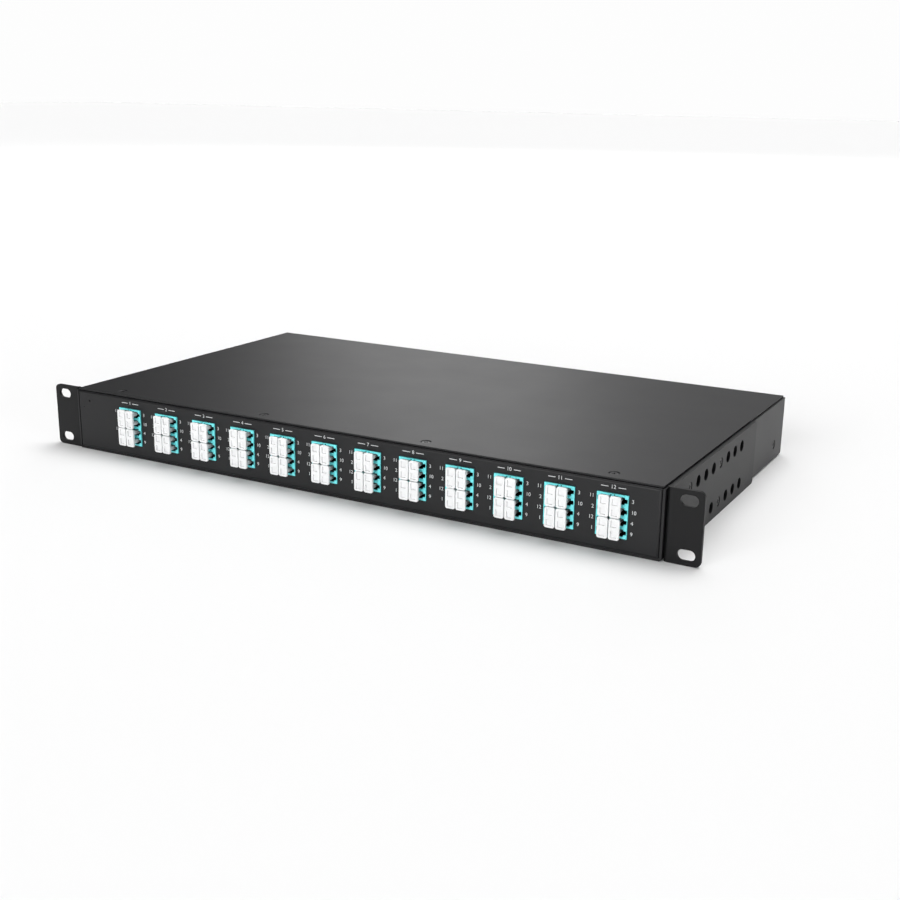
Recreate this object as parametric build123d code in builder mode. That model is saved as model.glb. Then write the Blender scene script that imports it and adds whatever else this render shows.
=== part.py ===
from build123d import *
import os

# Fibre breakout cassette, one rack unit high: a folded steel tray with front and rear panels,
# a cover and two rack ears. Twelve groups of LC ports face forward, each behind four dust caps,
# and each group is fed by one harness from an MTP socket in the rear panel.
# X runs to the right seen from the front, Y to the rear and Z up. The origin is at the centre
# of the bottom.

os.makedirs("parts", exist_ok=True)

# Rack and body, mm
ear_span = 482.6
ear_reach = 22.1
unit_height = 43.9
body_depth = 250.6
cap_reach = 5.8
rear_reach = 5.2

# Sheet metal
tray_sheet = 1.5
panel_sheet = 1.2
cover_sheet = 1.0
ear_sheet = 2.0
bend = 0.6
panel_bend = 0.2
fit_gap = 0.1
panel_gap = 0.3
cover_gap = 0.45
cover_seam = 0.2
cover_setback = 2.4
wall_setback = 0.4
front_flange = 16.0
rear_flange = 30.0
cover_lip = 9.0
pad_size = 7.0
pad_count = 4
pad_inset_x = 34.25
pad_inset_y = 10.3

# Rack ears
ear_setback = 2.0
ear_corner = 3.5
leg_length = 170.0
leg_drop = 2.4
leg_corner = 2.0
slot_inset_x = 8.75
slot_inset_z = 6.075
slot_length = 10.5
slot_width = 6.6
ear_hole_radius = 3.5
ear_hole_sides = 16
ear_hole_columns = 8
ear_hole_pitch = 14.55
ear_hole_low = 8.7
ear_hole_top = 10.1
first_hole_inset = 35.5
screwed_columns = (0, 4)

# LC port groups
group_count = 12
first_group_inset = 50.075
last_group_inset = 30.275
group_lift = 0.55
window_play = 0.25
adapter_width = 9.45
adapter_height = 25.6
adapter_length = 25.0
adapter_reach = 0.8
adapter_gap = 0.1
port_rows = 4
port_pitch = 6.25
port_column = 3.5
port_height = 4.5
port_depth = 11.0
port_inner = 2.3
port_outer = 3.9
keyway_height = 2.4
keyway_reach = 1.7

# Dust caps
plate_width = 6.5
plate_height = 12.5
plate_sheet = 1.4
plate_row_gap = 0.4
stem_width = 2.6
stem_height = 2.6
stem_insert = 7.0

# Plugs and harnesses inside
lc_plug_size = 4.1
lc_plug_length = 16.0
mtp_body_width = 15.0
mtp_body_height = 10.6
mtp_length = 24.0
mtp_flange_width = 19.0
mtp_flange_height = 13.0
mtp_flange_sheet = 1.6
mtp_socket_width = 12.6
mtp_socket_height = 8.0
mtp_key_width = 3.0
mtp_key_height = 0.7
mtp_socket_depth = 11.0
mtp_plug_play = 0.2
mtp_plug_length = 32.0
trunk_width = 4.8
trunk_height = 1.6
fan_length = 45.0

# Places worked out from the sizes
overall_depth = cap_reach + body_depth + rear_reach
front_y = cap_reach - overall_depth / 2
rear_y = front_y + body_depth
side_x = ear_span / 2 - ear_reach
wall_x = side_x - tray_sheet
cover_z = unit_height - cover_sheet
wall_top = cover_z - cover_gap
cover_x = wall_x - cover_seam
panel_width = 2 * (wall_x - panel_gap)
panel_bottom = tray_sheet + fit_gap
front_panel_height = wall_top - panel_bottom
rear_panel_height = cover_z - fit_gap - panel_bottom
rear_panel_y = rear_y - cover_sheet - fit_gap
ear_y = front_y + ear_setback
ear_x = side_x + ear_sheet
group_z = unit_height / 2 + group_lift
group_pitch = (2 * side_x - first_group_inset - last_group_inset) / (group_count - 1)
group_x = [first_group_inset - side_x + group_pitch * i for i in range(group_count)]
block_width = 2 * adapter_width + adapter_gap
adapter_face_y = front_y - adapter_reach
adapter_back_y = adapter_face_y + adapter_length
plate_back_y = front_y - cap_reach + plate_sheet
mtp_nose_y = rear_y + rear_reach
mtp_plug_y = mtp_nose_y - mtp_socket_depth
port_z = [group_z + port_pitch * (i - (port_rows - 1) / 2) for i in range(port_rows)]


def at_y(y):
    """The upright plane across the body at a depth y, looking forward."""
    return Plane.XZ.offset(-y)


def finish(builder, name):
    builder.part.label = name
    export_step(builder.part, f"parts/{name}.step")


# Tray: the floor and both side walls, folded from one sheet
with BuildPart() as chassis_tray:
    with BuildSketch(at_y(front_y + wall_setback)):
        with Locations((0, wall_top / 2)):
            Rectangle(2 * side_x, wall_top)
        with Locations((0, tray_sheet + wall_top / 2)):
            Rectangle(2 * wall_x, wall_top, mode=Mode.SUBTRACT)
    extrude(amount=-(body_depth - wall_setback))
    fillet(chassis_tray.edges().filter_by(Axis.Y).group_by(Axis.Z)[1], bend)
    fillet(chassis_tray.edges().filter_by(Axis.Y).group_by(Axis.Z)[0], bend + tray_sheet)
finish(chassis_tray, "chassis_tray")


# Front panel: a shallow pan folded back on all four sides, with a window for each port group
# and pads that hold the cover clear of its top flange
pad_pitch = 2 * (side_x - pad_inset_x) / (pad_count - 1)
pad_x = [pad_pitch * (i - (pad_count - 1) / 2) for i in range(pad_count)]
with BuildPart() as front_panel:
    with BuildSketch(at_y(front_y)):
        with Locations((0, panel_bottom + front_panel_height / 2)):
            Rectangle(panel_width, front_panel_height)
    extrude(amount=-front_flange)
    fillet(front_panel.faces().sort_by(Axis.Y)[0].edges(), panel_bend + panel_sheet)
    offset(amount=-panel_sheet, openings=front_panel.faces().sort_by(Axis.Y)[-1])
    with BuildSketch(at_y(front_y)):
        with Locations(*[(x, group_z) for x in group_x]):
            Rectangle(block_width + 2 * window_play, adapter_height + 2 * window_play)
    extrude(amount=-panel_sheet, mode=Mode.SUBTRACT)
    with BuildSketch(Plane.XY.offset(wall_top)):
        with Locations(*[(x, front_y + pad_inset_y) for x in pad_x]):
            Rectangle(pad_size, pad_size)
    extrude(amount=cover_gap - fit_gap)
finish(front_panel, "front_panel")


# Rear panel: a deeper pan, with a cut-out for each MTP adapter
with BuildPart() as rear_panel:
    with BuildSketch(at_y(rear_panel_y)):
        with Locations((0, panel_bottom + rear_panel_height / 2)):
            Rectangle(panel_width, rear_panel_height)
    extrude(amount=rear_flange)
    fillet(rear_panel.faces().sort_by(Axis.Y)[-1].edges(), panel_bend + panel_sheet)
    offset(amount=-panel_sheet, openings=rear_panel.faces().sort_by(Axis.Y)[0])
    with BuildSketch(at_y(rear_panel_y)):
        with Locations(*[(x, group_z) for x in group_x]):
            Rectangle(mtp_body_width + 2 * fit_gap, mtp_body_height + 2 * fit_gap)
    extrude(amount=panel_sheet, mode=Mode.SUBTRACT)
finish(rear_panel, "rear_panel")


# Cover: lies inside the line of the side walls and turns down over the rear panel
with BuildPart() as top_cover:
    with BuildSketch(Plane.YZ.offset(-cover_x)):
        with Locations((front_y + cover_setback, unit_height)):
            Rectangle(body_depth - cover_setback, cover_sheet, align=(Align.MIN, Align.MAX))
        with Locations((rear_y, unit_height)):
            Rectangle(cover_sheet, cover_lip, align=(Align.MAX, Align.MAX))
    extrude(amount=2 * cover_x)
    rear_fold = top_cover.edges().filter_by(Axis.X).sort_by_distance((0, rear_y, unit_height))[0]
    fillet(rear_fold, bend + cover_sheet)
finish(top_cover, "top_cover")


# Rack ears: an angle each, the short leg slotted for the rack, the long one on the side wall.
# The long leg's spare holes have flat sides, which keeps the repeated pattern light.
spare_hole_y = [ear_y + first_hole_inset + ear_hole_pitch * i for i in range(ear_hole_columns)
                if i not in screwed_columns]
spare_hole_z = [ear_hole_low, unit_height - ear_hole_top]
slot_z = [slot_inset_z, unit_height - slot_inset_z]
with BuildPart() as ear_right:
    with BuildSketch():
        with Locations((side_x, ear_y)):
            Rectangle(ear_sheet, leg_length, align=(Align.MIN, Align.MIN))
            Rectangle(ear_reach, ear_sheet, align=(Align.MIN, Align.MIN))
    extrude(amount=unit_height)
    upright = ear_right.edges().filter_by(Axis.Z)
    fillet(upright.sort_by_distance((ear_x, ear_y + ear_sheet, 0))[0], bend)
    upright = ear_right.edges().filter_by(Axis.Z)
    fillet(upright.sort_by_distance((side_x, ear_y, 0))[0], bend + ear_sheet)
    with BuildSketch(Plane.YZ.offset(side_x)):
        with Locations((ear_y + ear_sheet + bend, unit_height)):
            Rectangle(leg_length, leg_drop, align=(Align.MIN, Align.MAX))
        with Locations(*[(y, z) for y in spare_hole_y for z in spare_hole_z]):
            RegularPolygon(ear_hole_radius, ear_hole_sides)
    extrude(amount=ear_sheet, mode=Mode.SUBTRACT)
    fillet(ear_right.faces().sort_by(Axis.X)[-1].edges().filter_by(Axis.Y), ear_corner)
    fillet(ear_right.faces().sort_by(Axis.Y)[-1].edges().filter_by(Axis.X), leg_corner)
    with BuildSketch(at_y(ear_y)):
        with Locations(*[(ear_span / 2 - slot_inset_x, z) for z in slot_z]):
            SlotOverall(slot_length, slot_width)
    extrude(amount=-ear_sheet, mode=Mode.SUBTRACT)
finish(ear_right, "ear_right")

with BuildPart() as ear_left:
    mirror(ear_right.part, about=Plane.YZ)
finish(ear_left, "ear_left")


# LC adapters: four ports in a stack, two adapters back to back in each window, keyways outward
port_centres = [(x + s * port_column, z, s) for x in group_x for s in (-1, 1) for z in port_z]
adapter_x = [x + s * (adapter_gap + adapter_width) / 2 for x in group_x for s in (-1, 1)]
with BuildPart() as lc_adapters:
    with BuildSketch(at_y(adapter_face_y)):
        with Locations(*[(x, group_z) for x in adapter_x]):
            Rectangle(adapter_width, adapter_height)
    extrude(amount=-adapter_length)
    with BuildSketch(at_y(adapter_face_y)):
        for side in (-1, 1):
            ports = [(x, z) for x, z, s in port_centres if s == side]
            with Locations(*[(x + side * (port_outer - port_inner) / 2, z) for x, z in ports]):
                Rectangle(port_inner + port_outer, port_height)
            with Locations(*[(x + side * port_outer, z) for x, z in ports]):
                Rectangle(2 * keyway_reach, keyway_height)
    extrude(amount=-port_depth, mode=Mode.SUBTRACT)
finish(lc_adapters, "lc_adapters")


# Dust caps: a plate over two stacked ports, with a stem into each
def make_dust_cap(x, side, row, name):
    centre_x = x + side * port_column
    centre_z = group_z + row * (plate_row_gap + plate_height) / 2
    with BuildPart() as cap:
        with BuildSketch(at_y(plate_back_y)):
            with Locations((centre_x, centre_z)):
                Rectangle(plate_width, plate_height)
        extrude(amount=plate_sheet)
        with BuildSketch(at_y(plate_back_y)):
            with Locations(*[(centre_x, z) for z in port_z if (z - group_z) * row > 0]):
                Rectangle(stem_width, stem_height)
        extrude(amount=-(adapter_face_y - plate_back_y + stem_insert))
    finish(cap, name)


for number, x in enumerate(group_x, start=1):
    for side, column in ((-1, "left"), (1, "right")):
        for row, level in ((1, "upper"), (-1, "lower")):
            make_dust_cap(x, side, row, f"dust_cap_{number:02d}_{level}_{column}")


# Duplex LC plugs of the harnesses, seated on the backs of the adapters
plug_pair_z = [(low + high) / 2 for low, high in zip(port_z[0::2], port_z[1::2])]
with BuildPart() as lc_plugs:
    with BuildSketch(at_y(adapter_back_y)):
        with Locations(*[(x + s * port_column, z) for x in group_x for s in (-1, 1) for z in plug_pair_z]):
            Rectangle(lc_plug_size, lc_plug_size + port_pitch)
    extrude(amount=-lc_plug_length)
finish(lc_plugs, "lc_plugs")


# MTP adapters in the rear panel
with BuildPart() as mtp_adapters:
    with BuildSketch(at_y(mtp_nose_y)):
        with Locations(*[(x, group_z) for x in group_x]):
            Rectangle(mtp_body_width, mtp_body_height)
    extrude(amount=mtp_length)
    with BuildSketch(at_y(rear_panel_y)):
        with Locations(*[(x, group_z) for x in group_x]):
            Rectangle(mtp_flange_width, mtp_flange_height)
    extrude(amount=-mtp_flange_sheet)
    with BuildSketch(at_y(mtp_nose_y)):
        with Locations(*[(x, group_z) for x in group_x]):
            Rectangle(mtp_socket_width, mtp_socket_height)
        with Locations(*[(x, group_z + (mtp_socket_height + mtp_key_height) / 2) for x in group_x]):
            Rectangle(mtp_key_width, mtp_key_height)
    extrude(amount=mtp_length, mode=Mode.SUBTRACT)
finish(mtp_adapters, "mtp_adapters")


# MTP plugs of the harnesses, in the inner half of each MTP adapter
with BuildPart() as mtp_plugs:
    with BuildSketch(at_y(mtp_plug_y)):
        with Locations(*[(x, group_z) for x in group_x]):
            Rectangle(mtp_socket_width - 2 * mtp_plug_play, mtp_socket_height - 2 * mtp_plug_play)
    extrude(amount=mtp_plug_length)
finish(mtp_plugs, "mtp_plugs")


# Harness cables: the fibre legs of eight plugs gathered into one flat trunk that runs to the rear
legs_y = adapter_back_y + lc_plug_length
trunk_y = legs_y + fan_length
trunk_end_y = mtp_plug_y - mtp_plug_length
legs_width = 2 * port_column + lc_plug_size
legs_height = port_pitch * (port_rows - 1) + lc_plug_size


def fan_outline(middle, legs_size, trunk_size):
    """A fan that narrows to a trunk, seen square on."""
    half_legs = legs_size / 2
    half_trunk = trunk_size / 2
    Polygon(
        (legs_y, middle - half_legs),
        (trunk_y, middle - half_trunk),
        (trunk_end_y, middle - half_trunk),
        (trunk_end_y, middle + half_trunk),
        (trunk_y, middle + half_trunk),
        (legs_y, middle + half_legs),
        align=None,
    )


with BuildPart() as fibre_harnesses:
    with BuildSketch(Plane.YZ):
        fan_outline(group_z, legs_height, trunk_height)
    extrude(amount=side_x, both=True)
    with BuildSketch(Plane(origin=(0, 0, 0), x_dir=(0, 1, 0), z_dir=(0, 0, -1))):
        for x in group_x:
            fan_outline(x, legs_width, trunk_width)
    extrude(amount=-unit_height, mode=Mode.INTERSECT)
finish(fibre_harnesses, "fibre_harnesses")
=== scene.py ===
"""A fibre breakout cassette for a 19-inch rack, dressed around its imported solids."""

import math

import bmesh
import bpy
from mathutils import Matrix, Vector


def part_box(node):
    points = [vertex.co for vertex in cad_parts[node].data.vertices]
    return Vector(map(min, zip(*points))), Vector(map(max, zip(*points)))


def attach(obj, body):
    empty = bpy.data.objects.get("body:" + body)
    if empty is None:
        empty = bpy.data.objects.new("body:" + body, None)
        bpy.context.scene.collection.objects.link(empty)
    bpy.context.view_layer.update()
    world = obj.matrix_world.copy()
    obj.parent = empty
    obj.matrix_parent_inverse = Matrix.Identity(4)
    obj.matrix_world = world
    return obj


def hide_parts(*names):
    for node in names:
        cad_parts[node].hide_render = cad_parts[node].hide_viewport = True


bl_info = {
    "name": "Fibre cassette",
    "version": (1, 0, 0),
    "blender": (4, 5, 0),
    "location": "3D View > Sidebar > Cassette",
    "description": "Dresses a rack-mount fibre breakout cassette and sets up its studio",
    "category": "Object",
}

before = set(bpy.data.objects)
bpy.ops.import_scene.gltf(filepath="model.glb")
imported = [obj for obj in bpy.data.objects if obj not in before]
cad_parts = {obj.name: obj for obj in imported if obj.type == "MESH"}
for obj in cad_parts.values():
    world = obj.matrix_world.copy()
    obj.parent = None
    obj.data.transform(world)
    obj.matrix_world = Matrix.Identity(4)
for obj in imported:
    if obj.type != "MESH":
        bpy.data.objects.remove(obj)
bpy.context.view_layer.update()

MM = 0.001
BODY = "cassette"

# Meshes: distances and angle within which points, slivers and faces are joined
COPY_MERGE, CUT_MERGE, SPIN_MERGE = 0.002 * MM, 0.003 * MM, 0.001 * MM
FLAT_ANGLE = math.radians(0.5)
ROUND_STEPS = 40

# Sheet metal: bands of points that are moved, and cuts
ON_FACE = 0.1 * MM
LIP_REACH = 1.9 * MM
EAR_SHEET = 2.0 * MM
BEHIND_FLANGE = 2.5 * MM
LEG_TOP_BAND = (4.7 * MM, 2.0 * MM)
EAR_SOFTER = 1.3
EAR_COLUMNS = 8
SCREW_COLUMNS = (0, 4)
COVER_SCREWS = 4
SIDE_SINK, COVER_SINK, EAR_SINK = 1.2 * MM, 0.85 * MM, 1.6 * MM
SINK_RISE = 0.5 * MM
CUT_RISE = 1 * MM
HOLE_REACH = 5 * MM
SHANK_REACH = 6 * MM
PILOT_HOLES = ((0.7 * MM, -207.0 * MM, 36.0 * MM), (0.35 * MM, -212.7 * MM, 31.0 * MM))
PILOT_DEPTH = 3 * MM

# Port blocks: paired notches under the top edge, and the depths between which painted shade turns the aqua
# near black inside the ports
NOTCH_SHIFT = 1.05 * MM
NOTCH_HALF = 0.45 * MM
NOTCH_LOW, NOTCH_HIGH = 1.3 * MM, 0.4 * MM
NOTCH_DEPTH = 2.5 * MM
PAINTED_SHADE_FROM, PAINTED_SHADE_TO = 0.2 * MM, 1.6 * MM
PORT_PAINTED_SHADE = (0.002, 0.006, 0.007, 1.0)

# Rear sockets, plugs and harnesses
SOCKET_EDGE, PLUG_EDGE = 0.2 * MM, 0.3 * MM

# Dust caps
CAP_PLATE = 1.4 * MM
HALF_STEM = 1.3 * MM
STEM_ROOT = 0.3 * MM
STEM_CORNER = 0.3 * MM
RECESS_CORNER = 0.25 * MM
CAP_SOFT = 0.08 * MM

# Screws, down from the surface
HEAD_PLAY = 0.68 * MM
SHANK_PLAY = 0.15 * MM
HEAD_DROP = 0.4 * MM
HEAD_CHAMFER = 0.2 * MM
HEAD_RIM = 0.15 * MM
CONE_END = 1.7 * MM
SCREW_END = 2.4 * MM
CROSS_WIDTH, CROSS_LENGTH = 1.05 * MM, 4.4 * MM
CROSS_TAPER = 0.55
CROSS_HEIGHT, CROSS_MIDDLE = 1.5 * MM, -0.35 * MM

# Finishes: share of the noise between which colour and gloss change
NOISE_LOW, NOISE_HIGH = 0.3, 0.7

# Figures
LEFT_FIGURES = ("11", "2", "12", "1")
RIGHT_FIGURES = ("3", "10", "4", "9")
FIGURE_SHARE = 0.7
HALF_INK = 0.01 * MM
HALF_RULE = 0.2 * MM
RULE_CLEAR = 1.2 * MM
HALF_DIGIT = 0.9 * MM

# Studio
KEY_FROM, KEY_SPREAD = (-0.13, -1.0, 0.37), 0.6
SIDE_FROM, SIDE_SPREAD = (1.0, -0.32, 0.1), 0.4
SHEEN_PLACE, SHEEN_SIZE = (-2.0, 3.5, 1.68), (1.15, 1.7)
WIDE_PLACE, WIDE_SIZE = (-1.1, 3.9, 1.84), (2.8, 1.6)
LAMP_TARGET = (0.0, 0.0, 0.04)
OVERHEAD_AXIS = (0.05, 0.305, 0.951)
OVERHEAD_EDGE = 0.81
BACKDROP = 0.985
FLOOR_LIFT = 0.015
FLOOR_REACH = 12.0
CAMERA_PLACE = (0.42981, -0.75107, 0.25216)
CAMERA_TURN = (1.2881, -0.0136, 0.5083)


def rgb_property(name, description, default):
    return bpy.props.FloatVectorProperty(
        name=name, description=description, default=default, subtype="COLOR", size=3, min=0.0, max=1.0
    )


def length_property(name, description, default):
    return bpy.props.FloatProperty(
        name=name,
        description=description,
        default=default * MM,
        unit="LENGTH",
        subtype="DISTANCE",
        precision=5,
    )


def studio_property(name, description, default):
    return bpy.props.FloatProperty(name=name, description=description, default=default)


class CassetteSheet(bpy.types.PropertyGroup):
    """Sizes of the folded sheet metal and of what is cut into it"""

    edge: length_property("Edge", "Softened edge of the powder-coated sheet", 0.15)
    cover_lap: length_property("Cover lap", "Cover's reach towards the side walls' outsides", 0.45)
    cover_front: length_property("Cover front", "Cover's reach towards the front panel's face", 1.0)
    lip_back: length_property("Lip setback", "Tray's front lip behind its solid, in the panel's shade", 1.2)
    leg_rise: length_property("Leg rise", "Ears' long legs above their solids, up to the cover", 1.4)
    hole_radius: length_property("Spare hole radius", "Round holes along the ears' long legs", 3.73)
    hole_pitch: length_property("Spare hole pitch", "From one column of ear holes to the next", 14.55)
    hole_low: length_property("Lower holes", "Lower row of ear holes above the bottom", 8.7)
    hole_top: length_property("Upper holes", "Upper row of ear holes below the top", 10.1)
    first_hole: length_property("First hole", "From an ear's front face to its first column", 35.5)
    sink_radius: length_property("Countersink radius", "Mouth of a countersink at the surface", 3.4)
    shank_radius: length_property("Screw hole radius", "Narrow end of a countersink", 1.8)
    cover_screw_pitch: length_property("Cover screw pitch", "Between the screws along its front", 123.3)
    cover_screw_inset: length_property("Cover screw inset", "From the panel's face to those screws", 10.3)
    side_screw_inset: length_property("Side screw inset", "From the rear face to the side screws", 20.9)
    side_screw_height: length_property("Side screw height", "Side screws above the bottom", 12.4)


class CassettePorts(bpy.types.PropertyGroup):
    """Sizes of the port groups, their caps and their lettering"""

    pitch: length_property("Group pitch", "From one port group to the next", 32.55)
    row: length_property("Port pitch", "From one stacked port to the next", 6.25)
    edge: length_property("Moulded edge", "Softened edge of the adapters", 0.12)
    cap_corner: length_property("Cap corner", "Corner radius of a dust cap's plate", 1.3)
    cap_edge: length_property("Cap edge", "Rounded front rim of a dust cap's plate", 0.22)
    recess_width: length_property("Recess width", "Square grip recess in a cap, across", 3.6)
    recess_height: length_property("Recess height", "Square grip recess in a cap, upright", 3.9)
    recess_depth: length_property("Recess depth", "Depth of the grip recess", 1.1)
    recess_inset: length_property("Recess inset", "From the plate's left edge to the recess", 1.35)
    figure_height: length_property("Figure height", "Height of the port numbers", 2.2)
    figure_pitch: length_property("Figure pitch", "From one port number to the next", 6.4)
    figure_gap: length_property("Figure gap", "Between a block's side and its numbers", 1.7)
    title_height: length_property("Title height", "Height of the group numbers", 2.3)
    title_width: length_property("Title width", "Width of a group number with its two rules", 15.0)
    title_rise: length_property("Title rise", "Group numbers above the blocks", 3.7)


class CassetteColours(bpy.types.PropertyGroup):
    """Colours of the finishes"""

    powder: rgb_property("Powder coat", "Black powder coat of the sheet metal", (0.010, 0.010, 0.011))
    # Ears: a darker copy of the powder coat, painted shade that makes the ears read darker than the panel
    ear: rgb_property("Ear coat", "Deeper black powder coat of the ears", (0.006, 0.006, 0.0065))
    aqua: rgb_property("Adapter", "Aqua plastic of the port blocks", (0.19, 0.85, 0.88))
    cap: rgb_property("Dust cap", "White plastic of the dust caps", (0.84, 0.845, 0.85))
    ink: rgb_property("Lettering", "Screen-printed figures", (0.68, 0.69, 0.70))
    socket: rgb_property("Rear socket", "Black plastic of the rear sockets", (0.018, 0.018, 0.02))
    jacket: rgb_property("Fibre jacket", "Aqua jacket of the harnesses", (0.05, 0.42, 0.48))
    screw: rgb_property("Screw", "Black plated screws", (0.012, 0.012, 0.013))
    floor: rgb_property("Floor", "Pale studio floor", (0.85, 0.85, 0.85))


class CassetteStudio(bpy.types.PropertyGroup):
    """Camera and lamps"""

    lens: studio_property("Lens", "Focal length in mm on a 36 mm sensor", 49.95)
    key_power: studio_property("Key", "Distant lamp before the front", 2.0)
    sheen_power: studio_property("Sheen", "Lamp behind, mirrored in the cover", 12.3)
    wide_power: studio_property("Wide sheen", "Broad dim lamp beside the sheen", 8.5)
    side_power: studio_property("Side", "Distant low lamp on the right", 0.75)
    ambient: studio_property("Ambient", "World's light from all round", 0.06)
    overhead: studio_property("Overhead", "World's light from overhead", 4.8)


def settings(name):
    return getattr(bpy.context.scene, name)


# Shader nodes

def link_chain(tree, pairs):
    for source, target in pairs:
        tree.links.new(source, target)


def grain_group():
    """Fine surface grain: a height for bump, and a tone that shifts colour and roughness a little."""
    name = "fine_grain"
    if name in bpy.data.node_groups:
        return bpy.data.node_groups[name]
    tree = bpy.data.node_groups.new(name, "ShaderNodeTree")
    face = tree.interface
    face.new_socket("Vector", in_out="INPUT", socket_type="NodeSocketVector")
    for socket, default in (("Grain scale", 2500.0), ("Cloud scale", 25.0), ("Cloud amount", 0.3)):
        face.new_socket(socket, in_out="INPUT", socket_type="NodeSocketFloat").default_value = default
    face.new_socket("Height", in_out="OUTPUT", socket_type="NodeSocketFloat")
    face.new_socket("Tone", in_out="OUTPUT", socket_type="NodeSocketFloat")
    start = tree.nodes.new("NodeGroupInput")
    end = tree.nodes.new("NodeGroupOutput")
    grain = tree.nodes.new("ShaderNodeTexNoise")
    grain.inputs["Detail"].default_value = 2.0
    cloud = tree.nodes.new("ShaderNodeTexNoise")
    cloud.inputs["Detail"].default_value = 3.0
    blend = tree.nodes.new("ShaderNodeMix")
    blend.data_type = "FLOAT"
    link_chain(tree, (
        (start.outputs["Vector"], grain.inputs["Vector"]),
        (start.outputs["Grain scale"], grain.inputs["Scale"]),
        (start.outputs["Vector"], cloud.inputs["Vector"]),
        (start.outputs["Cloud scale"], cloud.inputs["Scale"]),
        (start.outputs["Cloud amount"], blend.inputs["Factor"]),
        (grain.outputs["Fac"], blend.inputs["A"]),
        (cloud.outputs["Fac"], blend.inputs["B"]),
        (grain.outputs["Fac"], end.inputs["Height"]),
        (blend.outputs["Result"], end.inputs["Tone"]),
    ))
    return tree


def finish_material(name, colour, rough, grain, tone, bump, specular=0.5):
    """A finish with fine grain. rough and tone are (low, high), bump is (strength, depth in metres)."""
    if name in bpy.data.materials:
        return bpy.data.materials[name]
    material = bpy.data.materials.new(name)
    material.use_nodes = True
    material.diffuse_color = (*colour, 1.0)
    tree = material.node_tree
    shader = tree.nodes["Principled BSDF"]
    shader.inputs["Specular IOR Level"].default_value = specular
    place = tree.nodes.new("ShaderNodeTexCoord")
    surface = tree.nodes.new("ShaderNodeGroup")
    surface.node_tree = grain_group()
    surface.inputs["Grain scale"].default_value = grain
    ramp = tree.nodes.new("ShaderNodeValToRGB")
    for stop, share in zip(ramp.color_ramp.elements, tone):
        stop.color = (*(min(c * share, 1.0) for c in colour), 1.0)
    ramp.color_ramp.elements[0].position = NOISE_LOW
    ramp.color_ramp.elements[1].position = NOISE_HIGH
    gloss = tree.nodes.new("ShaderNodeMapRange")
    gloss.inputs["From Min"].default_value = NOISE_LOW
    gloss.inputs["From Max"].default_value = NOISE_HIGH
    gloss.inputs["To Min"].default_value = rough[0]
    gloss.inputs["To Max"].default_value = rough[1]
    relief = tree.nodes.new("ShaderNodeBump")
    relief.inputs["Strength"].default_value = bump[0]
    relief.inputs["Distance"].default_value = bump[1]
    link_chain(tree, (
        (place.outputs["Object"], surface.inputs["Vector"]),
        (surface.outputs["Tone"], ramp.inputs["Fac"]),
        (ramp.outputs["Color"], shader.inputs["Base Color"]),
        (surface.outputs["Tone"], gloss.inputs["Value"]),
        (gloss.outputs["Result"], shader.inputs["Roughness"]),
        (surface.outputs["Height"], relief.inputs["Height"]),
        (relief.outputs["Normal"], shader.inputs["Normal"]),
    ))
    return material


def coated_steel(name, colour, specular):
    return finish_material(
        name,
        colour,
        rough=(0.40, 0.48),
        grain=2600.0,
        tone=(0.85, 1.2),
        bump=(0.35, 0.00003),
        specular=specular,
    )


def powder_coat():
    return coated_steel("powder_coat", settings("cassette_colours").powder, 0.32)


# A darker, less glossy copy of the powder coat: painted shade on the ears
def ear_coat():
    return coated_steel("ear_coat", settings("cassette_colours").ear, 0.23)


def aqua_plastic(name="aqua_plastic"):
    colour = settings("cassette_colours").aqua
    return finish_material(
        name, colour, rough=(0.28, 0.36), grain=1800.0, tone=(0.94, 1.06), bump=(0.1, 0.00002)
    )


def port_plastic():
    """Aqua plastic with painted shade: deeper than the adapters' front face its colour blends to near
    black, for the shade inside the ports.
    """
    material = aqua_plastic("port_plastic")
    tree = material.node_tree
    found = {node.bl_idname: node for node in tree.nodes}
    place = found["ShaderNodeTexCoord"]
    ramp = found["ShaderNodeValToRGB"]
    shader = found["ShaderNodeBsdfPrincipled"]
    # Painted shade: the colour goes from aqua to near black with depth behind the front face
    parts = tree.nodes.new("ShaderNodeSeparateXYZ")
    depth = tree.nodes.new("ShaderNodeMapRange")
    face_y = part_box("lc_adapters")[0].y
    depth.inputs["From Min"].default_value = face_y + PAINTED_SHADE_FROM
    depth.inputs["From Max"].default_value = face_y + PAINTED_SHADE_TO
    blend = tree.nodes.new("ShaderNodeMix")
    blend.data_type = "RGBA"
    factor, plain, painted_shade = blend.inputs[0], blend.inputs[6], blend.inputs[7]
    painted_shade.default_value = PORT_PAINTED_SHADE
    link_chain(tree, (
        (place.outputs["Object"], parts.inputs["Vector"]),
        (parts.outputs["Y"], depth.inputs["Value"]),
        (depth.outputs["Result"], factor),
        (ramp.outputs["Color"], plain),
        (blend.outputs[2], shader.inputs["Base Color"]),
    ))
    return material


def cap_plastic():
    colour = settings("cassette_colours").cap
    return finish_material(
        "cap_plastic", colour, rough=(0.4, 0.5), grain=1500.0, tone=(0.97, 1.03), bump=(0.08, 0.00002)
    )


def printed_ink():
    colour = settings("cassette_colours").ink
    return finish_material(
        "printed_ink", colour, rough=(0.5, 0.6), grain=3000.0, tone=(0.95, 1.05), bump=(0.1, 0.00001)
    )


def socket_plastic():
    colour = settings("cassette_colours").socket
    return finish_material(
        "socket_plastic", colour, rough=(0.38, 0.48), grain=2000.0, tone=(0.85, 1.2), bump=(0.15, 0.00002)
    )


def jacket_rubber():
    colour = settings("cassette_colours").jacket
    return finish_material(
        "jacket_rubber", colour, rough=(0.45, 0.55), grain=1200.0, tone=(0.9, 1.1), bump=(0.15, 0.00003)
    )


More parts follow.
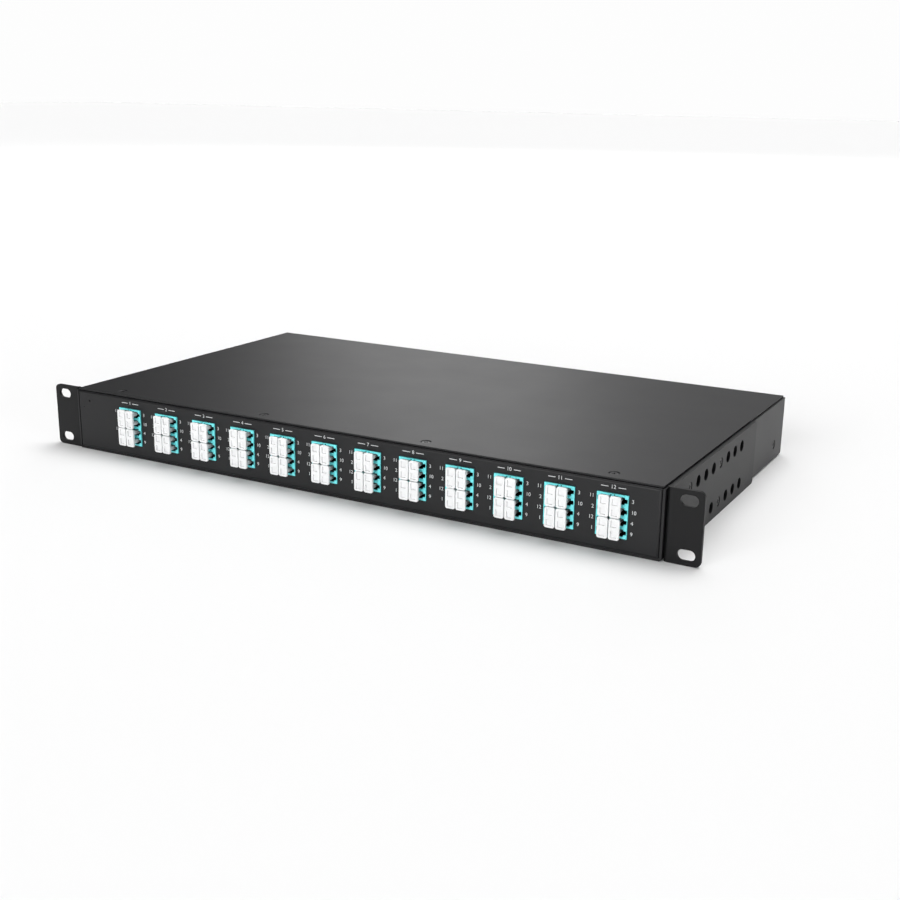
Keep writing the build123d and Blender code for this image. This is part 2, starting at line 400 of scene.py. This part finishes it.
def screw_steel():
    """Black plating, dull enough to read as no metal."""
    colour = settings("cassette_colours").screw
    return finish_material(
        "screw_steel",
        colour,
        rough=(0.32, 0.44),
        grain=4000.0,
        tone=(0.8, 1.3),
        bump=(0.2, 0.00002),
        specular=0.4,
    )


# Mesh helpers

def new_object(name, mesh, material):
    piece = bpy.data.objects.new(name, mesh)
    bpy.context.scene.collection.objects.link(piece)
    mesh.materials.clear()
    mesh.materials.append(material)
    return piece


def cutter_object(shape):
    """A bmesh as an object of its own, for cut to use up."""
    mesh = bpy.data.meshes.new("cutter")
    shape.to_mesh(mesh)
    shape.free()
    piece = bpy.data.objects.new("cutter", mesh)
    bpy.context.scene.collection.objects.link(piece)
    return piece


def add_box(shape, low, high):
    """A box between two corners. Returns its points."""
    made = bmesh.ops.create_cube(shape, size=1.0)["verts"]
    for vert in made:
        vert.co = Vector([(l + h) / 2 + c * (h - l) for l, h, c in zip(low, high, vert.co)])
    return made


def merged_copy(node, name, material):
    """A copy of a CAD node's mesh with its loose triangles joined into flat faces."""
    shape = bmesh.new()
    shape.from_mesh(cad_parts[node].data)
    bmesh.ops.remove_doubles(shape, verts=shape.verts, dist=COPY_MERGE)
    bmesh.ops.dissolve_limit(
        shape, angle_limit=FLAT_ANGLE, verts=shape.verts, edges=shape.edges, delimit={"NORMAL"}
    )
    mesh = bpy.data.meshes.new(name)
    shape.to_mesh(mesh)
    shape.free()
    return new_object(name, mesh, material)


def shift_points(piece, move, chosen):
    """Moves the mesh points that chosen picks out. Both take a point's place."""
    for vert in piece.data.vertices:
        if chosen(vert.co):
            vert.co += Vector(move(vert.co))


def apply_modifiers(piece):
    """The piece's evaluated mesh takes the place of its mesh and modifiers."""
    graph = bpy.context.evaluated_depsgraph_get()
    mesh = bpy.data.meshes.new_from_object(piece.evaluated_get(graph))
    materials = list(piece.data.materials)
    piece.modifiers.clear()
    piece.data = mesh
    mesh.materials.clear()
    for material in materials:
        mesh.materials.append(material)


def cut(piece, cutter, operation="DIFFERENCE"):
    """Takes the cutter out of the piece, or joins it on, and removes it."""
    boolean = piece.modifiers.new("cut", "BOOLEAN")
    boolean.operation = operation
    boolean.solver = "EXACT"
    boolean.object = cutter
    apply_modifiers(piece)
    bpy.data.objects.remove(cutter)


def join_faces(piece):
    """Joins doubled points, slivers and split flat faces that cuts leave behind."""
    shape = bmesh.new()
    shape.from_mesh(piece.data)
    bmesh.ops.remove_doubles(shape, verts=shape.verts, dist=CUT_MERGE)
    bmesh.ops.dissolve_degenerate(shape, edges=shape.edges, dist=CUT_MERGE)
    bmesh.ops.dissolve_limit(shape, angle_limit=FLAT_ANGLE, verts=shape.verts, edges=shape.edges)
    shape.to_mesh(piece.data)
    shape.free()


def soften(piece, width, segments=2, angle=30.0):
    """Rounds the sharp edges and shades the rest smooth."""
    join_faces(piece)
    bevel = piece.modifiers.new("soft_edges", "BEVEL")
    bevel.width = width
    bevel.segments = segments
    bevel.limit_method = "ANGLE"
    bevel.angle_limit = math.radians(angle)
    piece.data.shade_smooth()
    shading = piece.modifiers.new("flat_shading", "WEIGHTED_NORMAL")
    shading.mode = "FACE_AREA"
    shading.weight = 100
    shading.keep_sharp = True
    apply_modifiers(piece)


def frustums(places, wide, narrow, depth, rise, segments=ROUND_STEPS):
    """A cutter of cone frustums, each opening along its own normal and rising a little past the surface."""
    shape = bmesh.new()
    slope = (wide - narrow) / depth
    for spot, normal in places:
        turn = Vector(normal).to_track_quat("Z", "Y").to_matrix().to_4x4()
        bmesh.ops.create_cone(
            shape,
            cap_ends=True,
            segments=segments,
            radius1=narrow,
            radius2=wide + slope * rise,
            depth=depth + rise,
            matrix=Matrix.Translation(spot) @ turn @ Matrix.Translation((0, 0, (rise - depth) / 2)),
        )
    return cutter_object(shape)


def countersink(piece, places, depth):
    """Countersinks that reach depth into the sheet, and a plain hole on through it."""
    sheet = settings("cassette_sheet")
    cut(piece, frustums(places, sheet.shank_radius, sheet.shank_radius, SHANK_REACH, CUT_RISE))
    cut(piece, frustums(places, sheet.sink_radius, sheet.sink_radius - depth, depth, SINK_RISE))


def settle(piece, *nodes, slot=None, body=BODY):
    """The piece rides on its body and stands for the CAD nodes it was made from."""
    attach(piece, body)
    if nodes:
        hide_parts(*nodes)
    return piece


# Places worked out from the imported CAD parts

def group_centres():
    """Middle of each port group, from the row of adapters, as (x, z)."""
    low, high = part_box("lc_adapters")
    ports = settings("cassette_ports")
    count = round((high.x - low.x) / ports.pitch)
    middle = (low.x + high.x) / 2
    return [(middle + ports.pitch * (i - (count - 1) / 2), (low.z + high.z) / 2) for i in range(count)]


def ear_columns(side):
    """Places of the columns and two rows of holes on an ear's outer face."""
    sheet = settings("cassette_sheet")
    face_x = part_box("chassis_tray")[1].x + EAR_SHEET
    low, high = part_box("ear_right")
    rows = (low.z + sheet.hole_low, high.z - sheet.hole_top)
    columns = []
    for column in range(EAR_COLUMNS):
        y = low.y + sheet.first_hole + sheet.hole_pitch * column
        columns.append([Vector((side * face_x, y, z)) for z in rows])
    return columns


def ear_places(side, columns):
    """Places and normals of both rows of holes in some columns of an ear."""
    return [(spot, (side, 0, 0)) for column in columns for spot in ear_columns(side)[column]]


def cover_screw_places():
    """Places and normals of the screws along the cover's front."""
    sheet = settings("cassette_sheet")
    top_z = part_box("top_cover")[1].z
    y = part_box("front_panel")[0].y + sheet.cover_screw_inset
    columns = [sheet.cover_screw_pitch * (i - (COVER_SCREWS - 1) / 2) for i in range(COVER_SCREWS)]
    return [(Vector((x, y, top_z)), (0, 0, 1)) for x in columns]


def side_screw_places():
    """Places and normals of the screw near the rear of each side wall."""
    sheet = settings("cassette_sheet")
    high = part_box("chassis_tray")[1]
    y = high.y - sheet.side_screw_inset
    return [(Vector((side * high.x, y, sheet.side_screw_height)), (side, 0, 0)) for side in (-1, 1)]


# Sheet metal

def folded_tray(coat):
    """Tray with its front lip set back and the countersinks in its sides."""
    sheet = settings("cassette_sheet")
    tray = merged_copy("chassis_tray", "folded_tray", coat)
    low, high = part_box("chassis_tray")
    lip_x = high.x - LIP_REACH
    shift_points(
        tray,
        lambda spot: (0, sheet.lip_back, 0),
        lambda spot: spot.y < low.y + ON_FACE and spot.z < LIP_REACH and abs(spot.x) < lip_x,
    )
    countersink(tray, side_screw_places(), SIDE_SINK)
    return tray


def flat_cover(coat):
    """Cover drawn out towards the side walls' outsides and the panel's face, with its countersinks."""
    sheet = settings("cassette_sheet")
    cover = merged_copy("top_cover", "flat_cover", coat)
    low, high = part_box("top_cover")
    lap = sheet.cover_lap
    shift_points(
        cover, lambda spot: (math.copysign(lap, spot.x), 0, 0), lambda spot: abs(spot.x) > high.x - ON_FACE
    )
    shift_points(cover, lambda spot: (0, -sheet.cover_front, 0), lambda spot: spot.y < low.y + ON_FACE)
    countersink(cover, cover_screw_places(), COVER_SINK)
    return cover


def windowed_panel(coat):
    """Front panel with the two pilot holes near its left end."""
    panel = merged_copy("front_panel", "windowed_panel", coat)
    face_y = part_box("front_panel")[0].y
    for radius, x, z in PILOT_HOLES:
        place = [(Vector((x, face_y, z)), (0, -1, 0))]
        cut(panel, frustums(place, radius, radius, PILOT_DEPTH, CUT_RISE, segments=20))
    return panel


class CASSETTE_OT_sheet_metal(bpy.types.Operator):
    """Tray, panels and cover with softened edges and countersunk screw holes"""

    bl_idname = "cassette.sheet_metal"
    bl_label = "Sheet metal"

    def execute(self, context):
        coat = powder_coat()
        pairs = (
            (folded_tray(coat), "chassis_tray"),
            (flat_cover(coat), "top_cover"),
            (windowed_panel(coat), "front_panel"),
            (merged_copy("rear_panel", "socket_panel", coat), "rear_panel"),
        )
        for piece, node in pairs:
            soften(piece, settings("cassette_sheet").edge)
            settle(piece, node, slot="black_sheet")
        return {"FINISHED"}


class CASSETTE_OT_rack_ears(bpy.types.Operator):
    """Both rack ears with round holes and countersinks"""

    bl_idname = "cassette.rack_ears"
    bl_label = "Rack ears"

    def execute(self, context):
        sheet = settings("cassette_sheet")
        spare_columns = [column for column in range(EAR_COLUMNS) if column not in SCREW_COLUMNS]
        for side, node in ((-1, "ear_left"), (1, "ear_right")):
            ear = merged_copy(node, f"{node}_angle", ear_coat())
            low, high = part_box(node)
            leg_y = low.y + BEHIND_FLANGE
            band_low, band_high = (high.z - drop for drop in LEG_TOP_BAND)
            shift_points(
                ear,
                lambda spot: (0, 0, sheet.leg_rise),
                lambda spot: spot.y > leg_y and band_low < spot.z < band_high,
            )
            spare = ear_places(side, spare_columns)
            cut(ear, frustums(spare, sheet.hole_radius, sheet.hole_radius, HOLE_REACH, CUT_RISE))
            countersink(ear, ear_places(side, SCREW_COLUMNS), EAR_SINK)
            soften(ear, EAR_SOFTER * sheet.edge)
            settle(ear, node, slot="black_sheet")
        return {"FINISHED"}


# Ports and caps

class CASSETTE_OT_port_blocks(bpy.types.Operator):
    """Aqua LC adapters in the windows"""

    bl_idname = "cassette.port_blocks"
    bl_label = "Port blocks"

    def execute(self, context):
        # The adapters' aqua carries painted shade inside the ports
        blocks = merged_copy("lc_adapters", "port_blocks", port_plastic())
        low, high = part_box("lc_adapters")
        notches = bmesh.new()
        for x, _ in group_centres():
            for side in (-1, 1):
                middle = x + side * NOTCH_SHIFT
                add_box(
                    notches,
                    (middle - NOTCH_HALF, low.y - CUT_RISE, high.z - NOTCH_LOW),
                    (middle + NOTCH_HALF, low.y + NOTCH_DEPTH, high.z - NOTCH_HIGH),
                )
        cut(blocks, cutter_object(notches))
        soften(blocks, settings("cassette_ports").edge)
        settle(blocks, "lc_adapters", slot="aqua_plastic")
        return {"FINISHED"}


def rounded_block(shape, low, high, radius, segments):
    """A box with its four edges along Y rounded."""
    edges = {edge for vert in add_box(shape, low, high) for edge in vert.link_edges}
    along = [e for e in edges if abs(e.verts[0].co.y - e.verts[1].co.y) > 1e-6]
    bmesh.ops.bevel(
        shape, geom=along, offset=radius, segments=segments, profile=0.5, affect="EDGES", clamp_overlap=True
    )


def cap_shape(ports, low, high):
    """One dust cap: a plate with two grip recesses, on two stems. The corners are the CAD cap's box."""
    centre_x = (low.x + high.x) / 2
    centre_z = (low.z + high.z) / 2
    plate_back = low.y + CAP_PLATE
    shape = bmesh.new()
    rounded_block(shape, low, (high.x, plate_back, high.z), ports.cap_corner, 6)
    rim = {edge for face in shape.faces if face.normal.y < -0.99 for edge in face.edges}
    bmesh.ops.bevel(
        shape,
        geom=list(rim),
        offset=ports.cap_edge,
        segments=3,
        profile=0.5,
        affect="EDGES",
        clamp_overlap=True,
    )
    plate = bpy.data.meshes.new("plate")
    shape.to_mesh(plate)
    shape.free()
    cap = new_object("cap_form", plate, cap_plastic())
    stems = bmesh.new()
    recesses = bmesh.new()
    left = low.x + ports.recess_inset
    for side in (-1, 1):
        z = centre_z + side * ports.row / 2
        rounded_block(
            stems,
            (centre_x - HALF_STEM, plate_back - STEM_ROOT, z - HALF_STEM),
            (centre_x + HALF_STEM, high.y, z + HALF_STEM),
            STEM_CORNER,
            3,
        )
        rounded_block(
            recesses,
            (left, low.y - CUT_RISE, z - ports.recess_height / 2),
            (left + ports.recess_width, low.y + ports.recess_depth, z + ports.recess_height / 2),
            RECESS_CORNER,
            2,
        )
    cut(cap, cutter_object(stems), "UNION")
    cut(cap, cutter_object(recesses))
    return cap


class CASSETTE_OT_dust_caps(bpy.types.Operator):
    """A white cap over each pair of stacked ports"""

    bl_idname = "cassette.dust_caps"
    bl_label = "Dust caps"

    def execute(self, context):
        nodes = sorted(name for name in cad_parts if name.startswith("dust_cap_"))
        first_low, first_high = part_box(nodes[0])
        form = cap_shape(settings("cassette_ports"), first_low, first_high)
        soften(form, CAP_SOFT, angle=50.0)
        for node in nodes:
            mesh = form.data.copy()
            mesh.transform(Matrix.Translation(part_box(node)[0] - first_low))
            cap = new_object(node.replace("dust_", ""), mesh, cap_plastic())
            settle(cap, node, slot="white_cap", body=node)
        bpy.data.objects.remove(form)
        return {"FINISHED"}


# Screws, placed by Geometry Nodes

def screw_form(sheet):
    """A countersunk screw with a cross recess, its head's face at the origin and its shank down -Z."""
    shape = bmesh.new()
    head = sheet.sink_radius - HEAD_PLAY
    shank = sheet.shank_radius - SHANK_PLAY
    rim_top = HEAD_DROP + HEAD_CHAMFER
    outline = (
        (0.0, HEAD_DROP),
        (head - HEAD_CHAMFER, HEAD_DROP),
        (head, rim_top),
        (head, rim_top + HEAD_RIM),
        (shank, CONE_END),
        (shank, SCREW_END),
        (0.0, SCREW_END),
    )
    points = [shape.verts.new((x, 0, -drop)) for x, drop in outline]
    edges = [shape.edges.new(pair) for pair in zip(points, points[1:])]
    bmesh.ops.spin(
        shape,
        geom=points + edges,
        cent=(0, 0, 0),
        axis=(0, 0, 1),
        angle=math.tau,
        steps=ROUND_STEPS,
        use_merge=True,
    )
    bmesh.ops.remove_doubles(shape, verts=shape.verts, dist=SPIN_MERGE)
    bmesh.ops.recalc_face_normals(shape, faces=shape.faces)
    mesh = bpy.data.meshes.new("screw_form")
    shape.to_mesh(mesh)
    shape.free()
    screw = new_object("screw_form", mesh, screw_steel())
    for width, length in ((CROSS_WIDTH, CROSS_LENGTH), (CROSS_LENGTH, CROSS_WIDTH)):
        slot = bmesh.new()
        for vert in bmesh.ops.create_cube(slot, size=1.0)["verts"]:
            x, y, z = vert.co
            taper = 1.0 if z > 0 else CROSS_TAPER
            vert.co = (x * width * taper, y * length * taper, z * CROSS_HEIGHT + CROSS_MIDDLE)
        cut(screw, cutter_object(slot))
    return screw


def screw_tree():
    """Sets a screw on each point, aimed along the point's outward attribute and turned at random."""
    tree = bpy.data.node_groups.new("set_screws", "GeometryNodeTree")
    face = tree.interface
    face.new_socket("Geometry", in_out="INPUT", socket_type="NodeSocketGeometry")
    face.new_socket("Screw", in_out="INPUT", socket_type="NodeSocketObject")
    face.new_socket("Finish", in_out="INPUT", socket_type="NodeSocketMaterial")
    face.new_socket("Turn", in_out="INPUT", socket_type="NodeSocketFloat")
    face.new_socket("Seed", in_out="INPUT", socket_type="NodeSocketInt")
    face.new_socket("Geometry", in_out="OUTPUT", socket_type="NodeSocketGeometry")
    add = tree.nodes.new
    start = add("NodeGroupInput")
    end = add("NodeGroupOutput")
    outward = add("GeometryNodeInputNamedAttribute")
    outward.data_type = "FLOAT_VECTOR"
    outward.inputs["Name"].default_value = "outward"
    aim = add("FunctionNodeAlignRotationToVector")
    aim.axis = "Z"
    chance = add("FunctionNodeRandomValue")
    chance.data_type = "FLOAT"
    spin = add("FunctionNodeAxisAngleToRotation")
    turned = add("FunctionNodeRotateRotation")
    turned.rotation_space = "LOCAL"
    part = add("GeometryNodeObjectInfo")
    copies = add("GeometryNodeInstanceOnPoints")
    real = add("GeometryNodeRealizeInstances")
    coat = add("GeometryNodeSetMaterial")
    spin.inputs["Axis"].default_value = (0, 0, 1)
    link_chain(tree, (
        (start.outputs["Geometry"], copies.inputs["Points"]),
        (start.outputs["Screw"], part.inputs["Object"]),
        (part.outputs["Geometry"], copies.inputs["Instance"]),
        (outward.outputs["Attribute"], aim.inputs["Vector"]),
        (start.outputs["Turn"], chance.inputs[3]),
        (start.outputs["Seed"], chance.inputs["Seed"]),
        (chance.outputs[1], spin.inputs["Angle"]),
        (aim.outputs["Rotation"], turned.inputs["Rotation"]),
        (spin.outputs["Rotation"], turned.inputs["Rotate By"]),
        (turned.outputs["Rotation"], copies.inputs["Rotation"]),
        (copies.outputs["Instances"], real.inputs["Geometry"]),
        (real.outputs["Geometry"], coat.inputs["Geometry"]),
        (start.outputs["Finish"], coat.inputs["Material"]),
        (coat.outputs["Geometry"], end.inputs["Geometry"]),
    ))
    return tree


def set_inputs(modifier, values):
    """Sets a node modifier's inputs by their names."""
    for item in modifier.node_group.interface.items_tree:
        if item.in_out == "INPUT" and item.name in values:
            modifier[item.identifier] = values[item.name]


class CASSETTE_OT_screws(bpy.types.Operator):
    """Countersunk screws of the ears, the cover and the side walls"""

    bl_idname = "cassette.screws"
    bl_label = "Screws"

    def execute(self, context):
        form = screw_form(settings("cassette_sheet"))
        tree = screw_tree()
        rows = (
            ("ear_screws", ear_places(-1, SCREW_COLUMNS) + ear_places(1, SCREW_COLUMNS)),
            ("cover_screws", cover_screw_places()),
            ("side_screws", side_screw_places()),
        )
        for name, places in rows:
            points = bpy.data.meshes.new(name)
            points.from_pydata([spot for spot, normal in places], [], [])
            outward = points.attributes.new("outward", "FLOAT_VECTOR", "POINT")
            for value, (spot, normal) in zip(outward.data, places):
                value.vector = normal
            piece = new_object(name, points, screw_steel())
            nodes = piece.modifiers.new("set_screws", "NODES")
            nodes.node_group = tree
            set_inputs(nodes, {"Screw": form, "Finish": screw_steel(), "Turn": math.pi / 2, "Seed": 4})
            apply_modifiers(piece)
            settle(piece, slot="black_sheet")
        bpy.data.objects.remove(form)
        return {"FINISHED"}


# Printed figures

def figure_mesh(text, height, place, face_y, align="CENTER"):
    """A number as a thin mesh on the panel's face, set at (x, z)."""
    curve = bpy.data.curves.new("figure", "FONT")
    curve.body = text
    curve.size = height / FIGURE_SHARE
    curve.align_x = align
    curve.align_y = "CENTER"
    curve.extrude = HALF_INK
    curve.resolution_u = 4
    holder = bpy.data.objects.new("figure", curve)
    bpy.context.scene.collection.objects.link(holder)
    graph = bpy.context.evaluated_depsgraph_get()
    mesh = bpy.data.meshes.new_from_object(holder.evaluated_get(graph))
    bpy.data.objects.remove(holder)
    upright = Matrix.Rotation(math.pi / 2, 4, "X")
    mesh.transform(Matrix.Translation((place[0], face_y, place[1])) @ upright)
    return mesh


class CASSETTE_OT_figures(bpy.types.Operator):
    """Printed port numbers, and a number between two rules over each group"""

    bl_idname = "cassette.figures"
    bl_label = "Figures"

    def execute(self, context):
        ports = settings("cassette_ports")
        face_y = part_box("front_panel")[0].y - HALF_INK
        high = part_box("lc_adapters")[1]
        centres = group_centres()
        clear_x = high.x - centres[-1][0] + ports.figure_gap
        columns = ((-clear_x, "RIGHT", LEFT_FIGURES), (clear_x, "LEFT", RIGHT_FIGURES))
        shape = bmesh.new()
        for number, (x, z) in enumerate(centres, start=1):
            title_z = high.z + ports.title_rise
            meshes = [figure_mesh(str(number), ports.title_height, (x, title_z), face_y)]
            clear = RULE_CLEAR + HALF_DIGIT * len(str(number))
            for side in (-1, 1):
                ends = sorted((x + side * clear, x + side * ports.title_width / 2))
                add_box(
                    shape,
                    (ends[0], face_y - HALF_INK, title_z - HALF_RULE),
                    (ends[1], face_y + HALF_INK, title_z + HALF_RULE),
                )
            for shift, align, figures in columns:
                for row, figure in enumerate(figures):
                    place = (x + shift, z + ports.figure_pitch * ((len(figures) - 1) / 2 - row))
                    meshes.append(figure_mesh(figure, ports.figure_height, place, face_y, align))
            for mesh in meshes:
                shape.from_mesh(mesh)
                bpy.data.meshes.remove(mesh)
        mesh = bpy.data.meshes.new("panel_figures")
        shape.to_mesh(mesh)
        shape.free()
        settle(new_object("panel_figures", mesh, printed_ink()), slot="white_cap")
        return {"FINISHED"}


class CASSETTE_OT_rear_sockets(bpy.types.Operator):
    """MTP adapters, the plugs in them and the harnesses behind"""

    bl_idname = "cassette.rear_sockets"
    bl_label = "Rear sockets"

    def execute(self, context):
        sockets = merged_copy("mtp_adapters", "mtp_sockets", socket_plastic())
        soften(sockets, SOCKET_EDGE)
        settle(sockets, "mtp_adapters", slot="black_plastic")
        finishes = (
            ("mtp_plugs", "mtp_plug_bodies", "aqua_plug", aqua_plastic()),
            ("lc_plugs", "lc_plug_bodies", "aqua_plug", aqua_plastic()),
            ("fibre_harnesses", "harness_jackets", "fibre_jacket", jacket_rubber()),
        )
        for node, name, slot, material in finishes:
            piece = merged_copy(node, name, material)
            soften(piece, PLUG_EDGE)
            settle(piece, node, slot=slot)
        return {"FINISHED"}


# Studio

def area_lamp(name, place, size, power):
    """A rectangular lamp at a place, turned to the object."""
    lamp = bpy.data.lights.new(name, "AREA")
    lamp.shape = "RECTANGLE"
    lamp.size, lamp.size_y = size
    lamp.energy = power
    holder = bpy.data.objects.new(name, lamp)
    holder.location = place
    holder.rotation_euler = (Vector(LAMP_TARGET) - Vector(place)).to_track_quat("-Z", "Y").to_euler()
    bpy.context.scene.collection.objects.link(holder)


def sun_lamp(name, source, spread, strength):
    """A distant lamp that shines from the source's direction."""
    lamp = bpy.data.lights.new(name, "SUN")
    lamp.angle = spread
    lamp.energy = strength
    holder = bpy.data.objects.new(name, lamp)
    holder.rotation_euler = Vector(source).to_track_quat("Z", "Y").to_euler()
    bpy.context.scene.collection.objects.link(holder)


def white_world(ambient, overhead):
    """A wide soft light overhead in dim surroundings, which show white to the camera."""
    world = bpy.data.worlds.new("studio")
    world.use_nodes = True
    bpy.context.scene.world = world
    tree = world.node_tree
    backdrop = tree.nodes["Background"]
    backdrop.inputs["Color"].default_value = (1.0, 1.0, 1.0, 1.0)
    place = tree.nodes.new("ShaderNodeTexCoord")
    toward = tree.nodes.new("ShaderNodeVectorMath")
    toward.operation = "DOT_PRODUCT"
    toward.inputs[1].default_value = OVERHEAD_AXIS
    sky = tree.nodes.new("ShaderNodeMapRange")
    sky.interpolation_type = "SMOOTHSTEP"
    sky.inputs["From Min"].default_value = OVERHEAD_EDGE
    sky.inputs["To Min"].default_value = ambient
    sky.inputs["To Max"].default_value = overhead
    rays = tree.nodes.new("ShaderNodeLightPath")
    choice = tree.nodes.new("ShaderNodeMapRange")
    choice.inputs["To Max"].default_value = BACKDROP
    link_chain(tree, (
        (place.outputs["Generated"], toward.inputs[0]),
        (toward.outputs["Value"], sky.inputs["Value"]),
        (sky.outputs["Result"], choice.inputs["To Min"]),
        (rays.outputs["Is Camera Ray"], choice.inputs["Value"]),
        (choice.outputs["Result"], backdrop.inputs["Strength"]),
    ))


def floor_material(colour):
    """Pale floor that keeps the shadow and reads near white to the camera."""
    material = bpy.data.materials.new("studio_floor")
    material.use_nodes = True
    tree = material.node_tree
    shader = tree.nodes["Principled BSDF"]
    shader.inputs["Base Color"].default_value = (*colour, 1.0)
    shader.inputs["Roughness"].default_value = 0.9
    shader.inputs["Specular IOR Level"].default_value = 0.0
    shader.inputs["Emission Color"].default_value = (1.0, 1.0, 1.0, 1.0)
    rays = tree.nodes.new("ShaderNodeLightPath")
    seen = tree.nodes.new("ShaderNodeMath")
    seen.operation = "MAXIMUM"
    lift = tree.nodes.new("ShaderNodeMath")
    lift.operation = "MULTIPLY"
    lift.inputs[1].default_value = FLOOR_LIFT
    link_chain(tree, (
        (rays.outputs["Is Camera Ray"], seen.inputs[0]),
        (rays.outputs["Is Glossy Ray"], seen.inputs[1]),
        (seen.outputs["Value"], lift.inputs[0]),
        (lift.outputs["Value"], shader.inputs["Emission Strength"]),
    ))
    return material


class CASSETTE_OT_stage(bpy.types.Operator):
    """Floor, lamps, world and camera"""

    bl_idname = "cassette.stage"
    bl_label = "Stage"

    def execute(self, context):
        studio = settings("cassette_studio")
        scene = context.scene
        scene.view_settings.view_transform = "Standard"
        white_world(studio.ambient, studio.overhead)
        mesh = bpy.data.meshes.new("floor")
        corners = ((-1, -1), (1, -1), (1, 1), (-1, 1))
        mesh.from_pydata([(x * FLOOR_REACH, y * FLOOR_REACH, 0.0) for x, y in corners], [], [(0, 1, 2, 3)])
        floor = new_object("floor", mesh, floor_material(settings("cassette_colours").floor))
        sun_lamp("key", KEY_FROM, KEY_SPREAD, studio.key_power)
        sun_lamp("side", SIDE_FROM, SIDE_SPREAD, studio.side_power)
        area_lamp("sheen", SHEEN_PLACE, SHEEN_SIZE, studio.sheen_power)
        area_lamp("wide_sheen", WIDE_PLACE, WIDE_SIZE, studio.wide_power)
        camera = bpy.data.cameras.new("camera")
        camera.sensor_width = 36.0
        camera.lens = studio.lens
        camera.clip_end = 20.0
        holder = bpy.data.objects.new("camera", camera)
        holder.location = CAMERA_PLACE
        holder.rotation_euler = CAMERA_TURN
        scene.collection.objects.link(holder)
        scene.camera = holder
        return {"FINISHED"}


STEPS = (
    CASSETTE_OT_stage,
    CASSETTE_OT_sheet_metal,
    CASSETTE_OT_rack_ears,
    CASSETTE_OT_port_blocks,
    CASSETTE_OT_dust_caps,
    CASSETTE_OT_screws,
    CASSETTE_OT_figures,
    CASSETTE_OT_rear_sockets,
)


class CASSETTE_PT_panel(bpy.types.Panel):
    """Every step that dresses the cassette"""

    bl_label = "Fibre cassette"
    bl_space_type = "VIEW_3D"
    bl_region_type = "UI"
    bl_category = "Cassette"

    def draw(self, context):
        for step in STEPS:
            self.layout.operator(step.bl_idname)
        for group in ("cassette_sheet", "cassette_ports", "cassette_colours", "cassette_studio"):
            box = self.layout.box()
            for name in getattr(context.scene, group).__annotations__:
                box.prop(getattr(context.scene, group), name)


GROUPS = (
    ("cassette_sheet", CassetteSheet),
    ("cassette_ports", CassettePorts),
    ("cassette_colours", CassetteColours),
    ("cassette_studio", CassetteStudio),
)


def register():
    for name, group in GROUPS:
        bpy.utils.register_class(group)
        setattr(bpy.types.Scene, name, bpy.props.PointerProperty(type=group))
    for step in STEPS:
        bpy.utils.register_class(step)
    bpy.utils.register_class(CASSETTE_PT_panel)


def unregister():
    bpy.utils.unregister_class(CASSETTE_PT_panel)
    for step in reversed(STEPS):
        bpy.utils.unregister_class(step)
    for name, group in reversed(GROUPS):
        delattr(bpy.types.Scene, name)
        bpy.utils.unregister_class(group)


def main():
    register()
    for step in STEPS:
        group, name = step.bl_idname.split(".")
        getattr(getattr(bpy.ops, group), name)()


if __name__ == "__main__":
    main()
